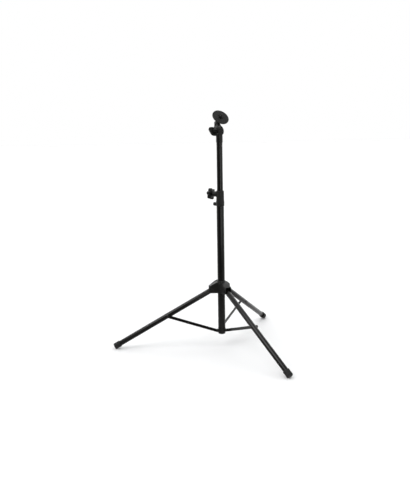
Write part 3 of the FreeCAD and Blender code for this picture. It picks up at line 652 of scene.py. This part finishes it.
make_tubes()
make_star_knob()
WING_TURN = math.radians(137.0)
make_wing_knob(
    "head_wing", "tilt_wing_knob", "head_knob_turn", "head_clamp",
    HEAD_WAY * math.cos(WING_TURN) + UP * math.sin(WING_TURN),
)
HUB_TURN = math.radians(62.0)
make_wing_knob(
    "hub_wing", "hub_wing_knob", "hub_knob_turn", "slider_clamp",
    UP * -math.cos(HUB_TURN) + heading(210.0) * math.sin(HUB_TURN),
)
make_stud()
make_plate()
for side in SIDES:
    make_leg(side)

CARRIED = [
    ("column_foot", COLLAR, "column", "moulded_black", 0.5),
    ("brace_foot_screws", BOLTS, "column", "black_steel", 0.2),
    ("collar", COLLAR, "column", "moulded_black", 0.5),
    ("collar_bushing", NYLON, "column", "nylon_black", 0.2),
    ("collar_screw", BOLTS, "column", "black_steel", 0.2),
    ("tilt_post", BRACKET, "mast", "bracket_coat", 0.6),
    ("tilt_bolt", BOLTS, "mast", "black_steel", 0.2),
    ("tilt_washer", BOLTS, "mast", "black_steel", 0.15),
    ("post_grub_screw", BOLTS, "mast", "black_steel", 0.0),
    ("upper_tube_bush", NYLON, "mast", "nylon_black", 0.2),
    ("tilt_fork", BRACKET, "head", "bracket_coat", 0.6),
    ("mount_bolt_washer", BOLTS, "head", "black_steel", 0.15),
    ("plate_nut", BOLTS, "head", "black_steel", 0.3),
    ("hub", BRACKET, "slider", "bracket_coat", 0.5),
    ("hub_liner", NYLON, "slider", "nylon_black", 0.2),
    ("hub_pivot_bolts", BOLTS, "slider", "black_steel", 0.2),
    ("hub_pivot_nuts", BOLTS, "slider", "black_steel", 0.3),
    ("hub_clamp_screw", BOLTS, "slider_clamp", "black_steel", 0.2),
    ("hub_clamp_pad", NYLON, "slider_clamp", "nylon_black", 0.0),
    ("star_stud", BOLTS, "collar_clamp", "black_steel", 0.2),
    ("star_clamp_pad", NYLON, "collar_clamp", "nylon_black", 0.0),
]
for side in SIDES:
    CARRIED += [
        ("leg_plug_" + side, NYLON, side + "_leg", "nylon_black", 0.3),
        ("leg_bolt_" + side, BOLTS, side + "_leg", "black_steel", 0.2),
        ("leg_spacer_" + side, NYLON, side + "_leg", "nylon_black", 0.2),
        ("brace_" + side, LEG, side + "_stay", "tube_coat", 0.4),
        ("brace_pin_" + side, BOLTS, side + "_stay", "black_steel", 0.2),
    ]
for node, material, body, slot, bevel in CARRIED:
    carried(node, material, body, bevel * MM)


# ------------------------------------------------------------------ studio

def studio_material(name, base, roughness):
    finish = Finish(name)
    finish.shader.inputs["Base Color"].default_value = (*base, 1.0)
    finish.shader.inputs["Roughness"].default_value = roughness
    return finish.material


def sheet_of_floor(name, half, material):
    shape = bmesh.new()
    bmesh.ops.create_grid(shape, x_segments=1, y_segments=1, size=half)
    mesh = bpy.data.meshes.new(name)
    shape.to_mesh(mesh)
    shape.free()
    mesh.materials.append(material)
    floor = bpy.data.objects.new(name, mesh)
    bpy.context.scene.collection.objects.link(floor)
    floor.visible_glossy = False


KEY_LIGHT = (-0.56, -0.30, 0.77)     # direction of the main softbox, high on the left
FLOOR_HALF = 30.0
SKY_STRENGTH = 1.23                  # even light from above on the floor


def make_glow(nodes):
    """Brightness of the studio in each direction, as the stand's gloss sees it."""
    toward = nodes.make("ShaderNodeTexCoord", output="Generated")
    right = nodes.make("ShaderNodeSeparateXYZ", inputs={0: toward}, output="X")
    back = nodes.make("ShaderNodeSeparateXYZ", inputs={0: toward}, output="Y")
    rise = nodes.make("ShaderNodeSeparateXYZ", inputs={0: toward}, output="Z")
    front = nodes.ramp(back, 0.1, -0.3)
    walls = nodes.ramp(back, -0.1, 0.75, 0.0, 1.0)
    walls = walls + nodes.ramp(right, 0.1, 1.0, 0.02, 0.26) + nodes.ramp(right, -0.5, -1.0, 0.0, 0.14)
    walls = walls * nodes.ramp(rise, -0.7, -0.1, 0.3, 1.0)
    near_floor = nodes.ramp(rise, -0.2, -0.8, 0.0, 0.42)
    high_wall = nodes.ramp(rise, -0.12, -0.03) * nodes.ramp(right, 0.45, 0.9, 0.0, 0.30)
    ceiling = nodes.ramp(rise, 0.45, 0.95, 0.0, 0.18)
    facing = nodes.make(
        "ShaderNodeVectorMath", {"operation": "DOT_PRODUCT"}, {0: toward, 1: KEY_LIGHT}, "Value"
    )
    key_light = nodes.ramp(facing, 0.88, 0.97, 0.0, 2.6)
    strip = nodes.ramp(right, 0.16, 0.27) * nodes.ramp(right, 0.47, 0.36)
    strip_light = strip * nodes.ramp(rise, -0.13, -0.05) * nodes.ramp(rise, 0.7, 0.5) * front * 3.0
    return walls + near_floor + high_wall + ceiling + key_light + strip_light


def make_studio():
    paper = studio_material("paper_floor", (0.90, 0.905, 0.91), 0.9)
    sheet_of_floor("floor_sheet", FLOOR_HALF, paper)
    sky = bpy.data.lights.new("ceiling_panels", "SUN")
    sky.energy = SKY_STRENGTH
    sky.angle = math.radians(100)
    light = bpy.data.objects.new("ceiling_panels", sky)
    light.location = (0, 0, 3)
    light.visible_glossy = False
    bpy.context.scene.collection.objects.link(light)
    world = bpy.data.worlds.new("studio")
    world.use_nodes = True
    bpy.context.scene.world = world
    nodes = Nodes(world.node_tree)
    seen = nodes.make("ShaderNodeLightPath", output="Is Camera Ray")
    glow = world.node_tree.nodes["Background"]
    nodes.feed(glow.inputs["Strength"], seen + (1 - seen) * make_glow(nodes))
    glow.inputs["Color"].default_value = (1, 1, 1, 1)


def make_camera():
    """Camera about a metre above the floor, a little to the left of the stand."""
    lens = bpy.data.cameras.new("camera")
    lens.lens = 49.12
    lens.sensor_width = 36.0
    camera = bpy.data.objects.new("camera", lens)
    bpy.context.scene.collection.objects.link(camera)
    place = Matrix.Translation((-0.18456, -3.12013, 1.07131))
    turn = Matrix.Rotation(math.radians(-2.017), 4, "Z")
    pitch = Matrix.Rotation(math.radians(90 - 10.476), 4, "X")
    roll = Matrix.Rotation(math.radians(-0.9975), 4, "Z")
    camera.matrix_world = place @ turn @ pitch @ roll
    bpy.context.scene.camera = camera


make_studio()
make_camera()
bpy.context.scene.view_settings.view_transform = "Standard"
